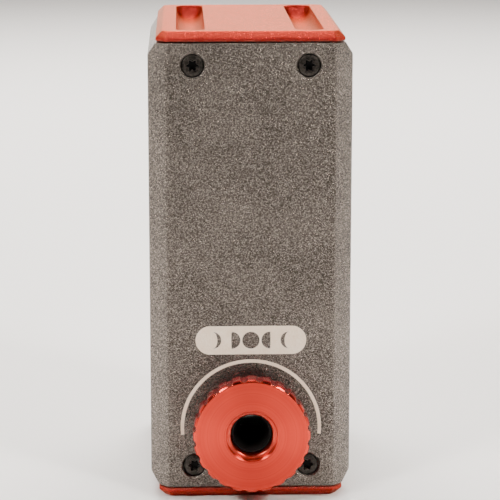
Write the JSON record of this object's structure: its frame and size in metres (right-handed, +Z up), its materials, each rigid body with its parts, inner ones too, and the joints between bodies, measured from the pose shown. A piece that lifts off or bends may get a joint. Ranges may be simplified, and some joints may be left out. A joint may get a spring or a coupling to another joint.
{
  "type": "cooled astronomy camera",
  "caption": "Tall, narrow camera housing with end caps, a knurled focus ring round a small optical port low on the front, and a fan-cooled cold chamber inside.",
  "frame": {"origin": "centre of the flat underside of the bottom cap", "axes": "+Z up along the tall housing; the front face and the optical axis look out along -Y; +X is to the right when looking at the front"},
  "size_m": [0.05, 0.0805, 0.117],
  "materials": {
    "grey_anodised": "bead-blasted, grey anodised",
    "red_anodised": "satin, red anodised",
    "black_anodised": "matt black anodised",
    "black_steel": "black oxide",
    "bright_steel": "bright",
    "bare_aluminium": "bare, sawn",
    "copper": "machined copper",
    "brass": "turned",
    "glass": "coated",
    "rubber": "matt",
    "black_plastic": "moulded",
    "white_ceramic": "ceramic",
    "grey_foam": "closed-cell foam",
    "board_green": "solder mask",
    "amber_film": "polyimide film",
    "pale_plastic": "acetal",
    "clear_lens": "clear"
  },
  "bodies": {
    "housing": {"front_shell": "grey_anodised", "rear_shell": "grey_anodised", "top_cap": "red_anodised", "bottom_cap": "red_anodised", "chamber_body": "black_anodised", "front_screw_1": "black_steel", "front_screw_2": "black_steel", "front_screw_3": "black_steel", "front_screw_4": "black_steel", "rear_screw_1": "black_steel", "rear_screw_2": "black_steel", "rear_screw_3": "black_steel", "rear_screw_4": "black_steel", "chamber_screw_1": "black_steel", "chamber_screw_2": "black_steel", "chamber_screw_3": "black_steel", "chamber_screw_4": "black_steel", "fan_screw_1": "black_steel", "fan_screw_2": "black_steel", "fan_screw_3": "black_steel", "fan_screw_4": "black_steel", "board_bolt_1": "black_steel", "board_bolt_2": "black_steel", "board_bolt_3": "black_steel", "board_bolt_4": "black_steel", "fan_guard": "black_steel", "tripod_insert": "bright_steel", "left_guide_pin": "bright_steel", "right_guide_pin": "bright_steel", "data_socket": "bright_steel", "heat_sink": "bare_aluminium", "cold_finger": "copper", "fan_stator": "copper", "board_spacer_1": "brass", "board_spacer_2": "brass", "board_spacer_3": "brass", "board_spacer_4": "brass", "chamber_window": "glass", "sensor_glass": "glass", "left_seam_seal": "rubber", "right_seam_seal": "rubber", "window_seal": "rubber", "chamber_back": "black_plastic", "fan_frame": "black_plastic", "power_socket": "black_plastic", "image_sensor": "white_ceramic", "peltier_module": "white_ceramic", "insulation_collar": "grey_foam", "sensor_board": "board_green", "main_board": "board_green", "processor_board": "board_green", "sensor_ribbon": "amber_film", "thrust_washer": "pale_plastic", "status_light": "clear_lens"},
    "focus_ring": {"knurled_ring": "red_anodised", "retaining_nut": "black_steel"},
    "barrel": {"focus_barrel": "black_anodised"},
    "rotor": {"fan_rotor": "black_plastic", "fan_shaft": "bright_steel"}
  },
  "joints": [
    {"name": "focus_turn", "type": "hinge", "parent": "housing", "child": "focus_ring", "pos_m": [0, -0.036, 0.0182], "axis": [0, -1, 0], "range_deg": [-360, 360]},
    {"name": "barrel_slide", "type": "slide", "parent": "housing", "child": "barrel", "axis": [0, -1, 0], "range_m": [-0.001, 0.001]},
    {"name": "fan_spin", "type": "hinge", "parent": "housing", "child": "rotor", "pos_m": [0, 0.028, 0.0345], "axis": [0, 1, 0], "continuous": true}
  ],
  "couplings": [
    {"joint": "barrel_slide", "follows": "focus_turn", "m_per_rad": -0.00015915}
  ]
}
